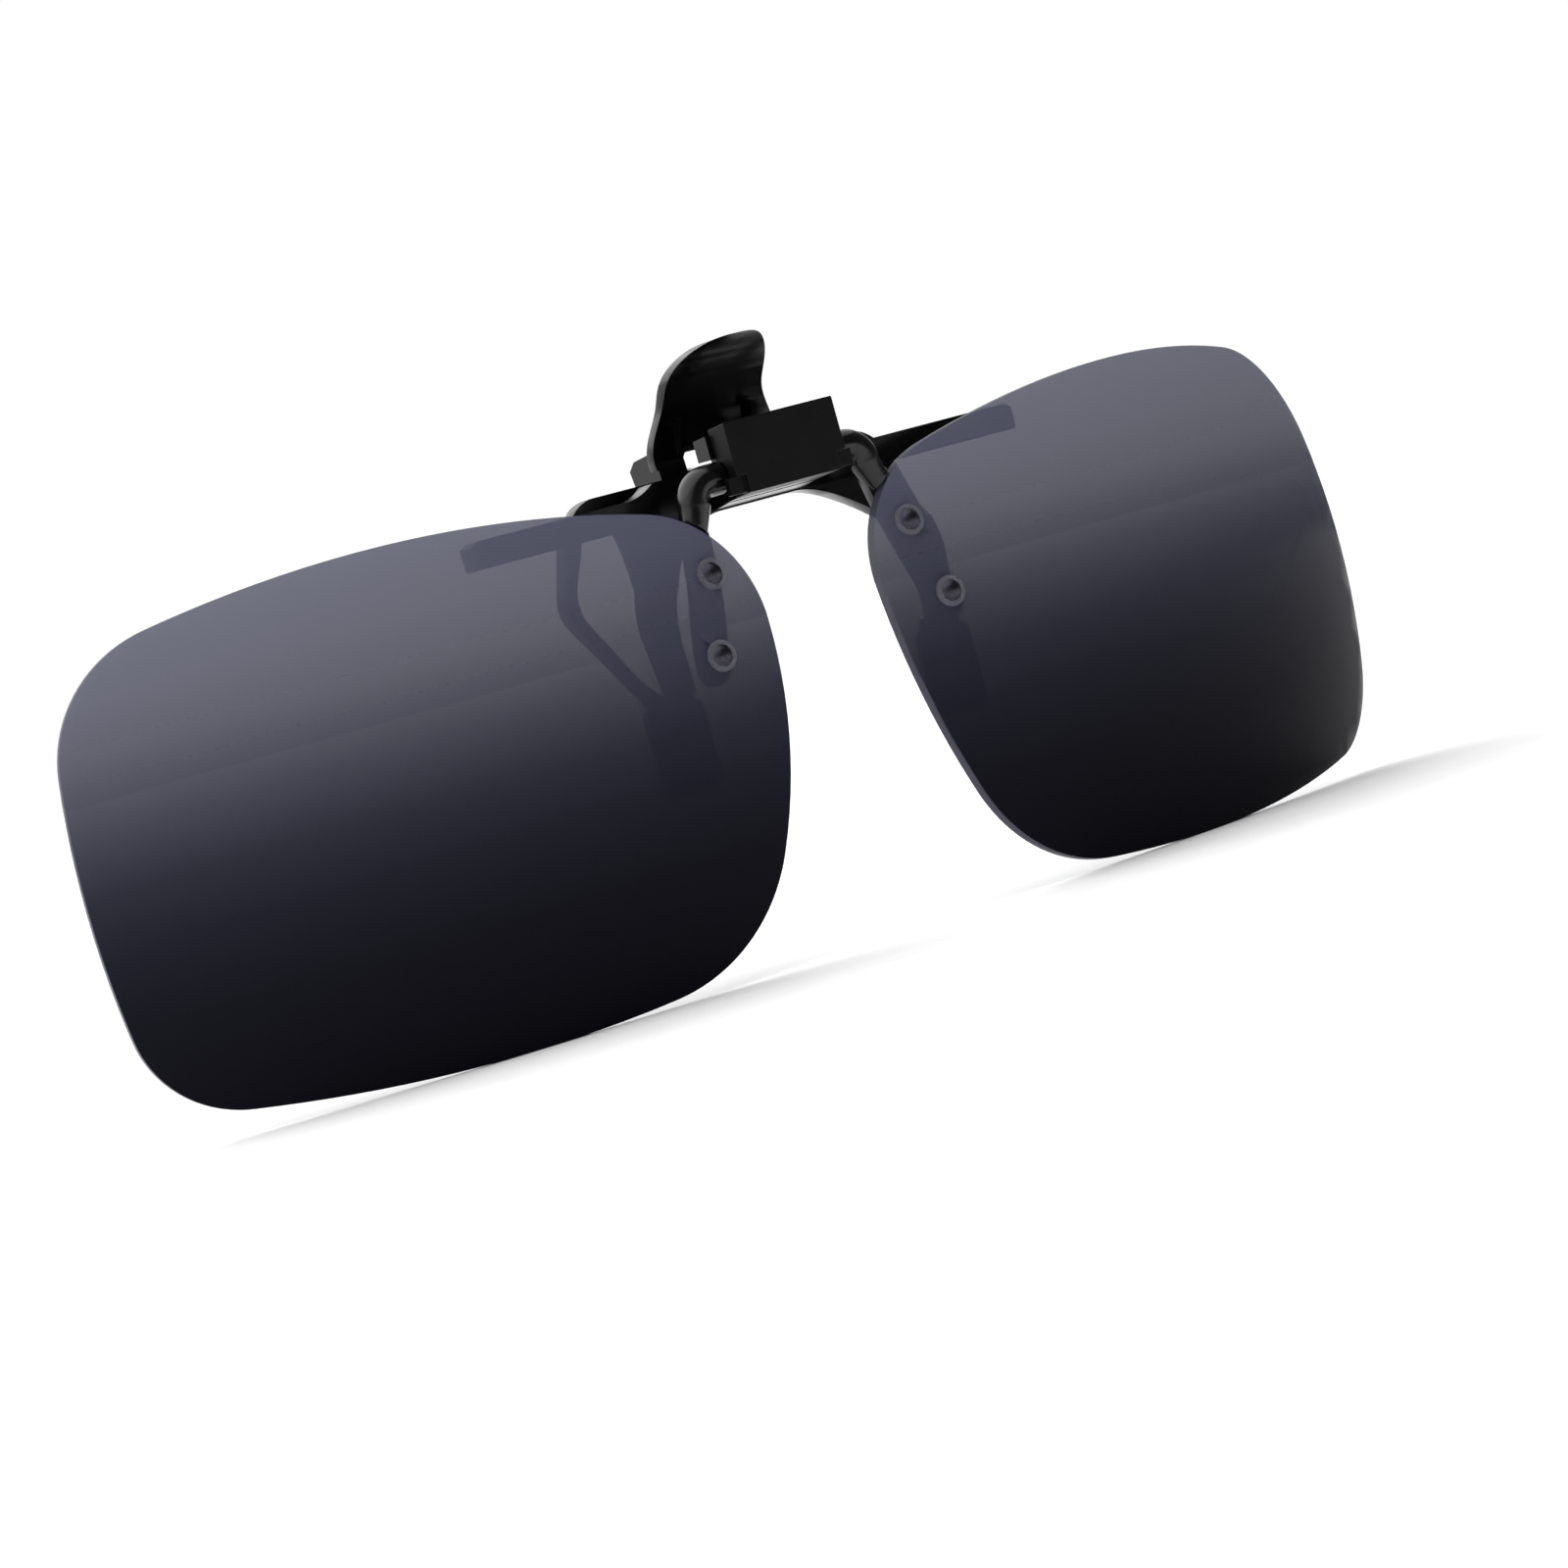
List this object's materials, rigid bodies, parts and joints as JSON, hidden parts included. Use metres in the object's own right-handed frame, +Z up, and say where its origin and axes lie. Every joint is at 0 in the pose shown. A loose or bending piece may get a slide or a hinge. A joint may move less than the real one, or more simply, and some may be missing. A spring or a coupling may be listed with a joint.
{
  "type": "clip on sunglasses",
  "caption": "Flip-up clip-on sunglasses: rimless gradient tinted lenses riveted to a hinged carrier, on a sprung plastic clamp with soft-tipped claws and a thumb lever.",
  "frame": {"origin": "middle of the gap between the closed claw sleeves, on the middle plane and at the sleeves' mid height: where the spectacle lenses are gripped", "axes": "+Z up, +X to the right seen from the front along the width, the lenses face -Y"},
  "size_m": [0.1286, 0.0159, 0.0507],
  "materials": {
    "lens_tint": "gradient smoke grey tint, hard coated, polished",
    "rivet_metal": "black nickel plated, soft polish",
    "washer_nylon": "clear nylon",
    "black_gloss": "moulded, polished",
    "black_satin": "moulded, satin",
    "sleeve_silicone": "soft moulded, matte",
    "pin_steel": "drawn stainless",
    "spring_steel": "cold drawn music wire, oiled"
  },
  "bodies": {
    "front_jaw": {"front_jaw": "black_gloss", "hinge_housing": "black_satin", "detent_leaf_spring": "spring_steel", "clamp_pin": "pin_steel", "torsion_spring": "spring_steel", "sleeve_front_left": "sleeve_silicone", "sleeve_front_right": "sleeve_silicone"},
    "rear_jaw": {"rear_jaw": "black_gloss", "sleeve_rear_left": "sleeve_silicone", "sleeve_rear_right": "sleeve_silicone"},
    "lens_carrier": {"lens_carrier": "black_gloss", "lens_left": "lens_tint", "rivet_left_upper": "rivet_metal", "washer_left_upper": "washer_nylon", "rivet_left_lower": "rivet_metal", "washer_left_lower": "washer_nylon", "lens_right": "lens_tint", "rivet_right_upper": "rivet_metal", "washer_right_upper": "washer_nylon", "rivet_right_lower": "rivet_metal", "washer_right_lower": "washer_nylon"}
  },
  "joints": [
    {"name": "lens_flip", "type": "hinge", "parent": "front_jaw", "child": "lens_carrier", "pos_m": [0, -0.0031, 0.0202], "axis": [-1, 0, 0], "range_deg": [0, 90], "deforming": ["detent_leaf_spring"]},
    {"name": "clamp_hinge", "type": "hinge", "parent": "front_jaw", "child": "rear_jaw", "pos_m": [0, 0.0063, 0.0204], "axis": [1, 0, 0], "range_deg": [0, 20], "stiffness_Nm_per_rad": 0.06, "springref_deg": -22.92, "deforming": ["torsion_spring"]}
  ]
}
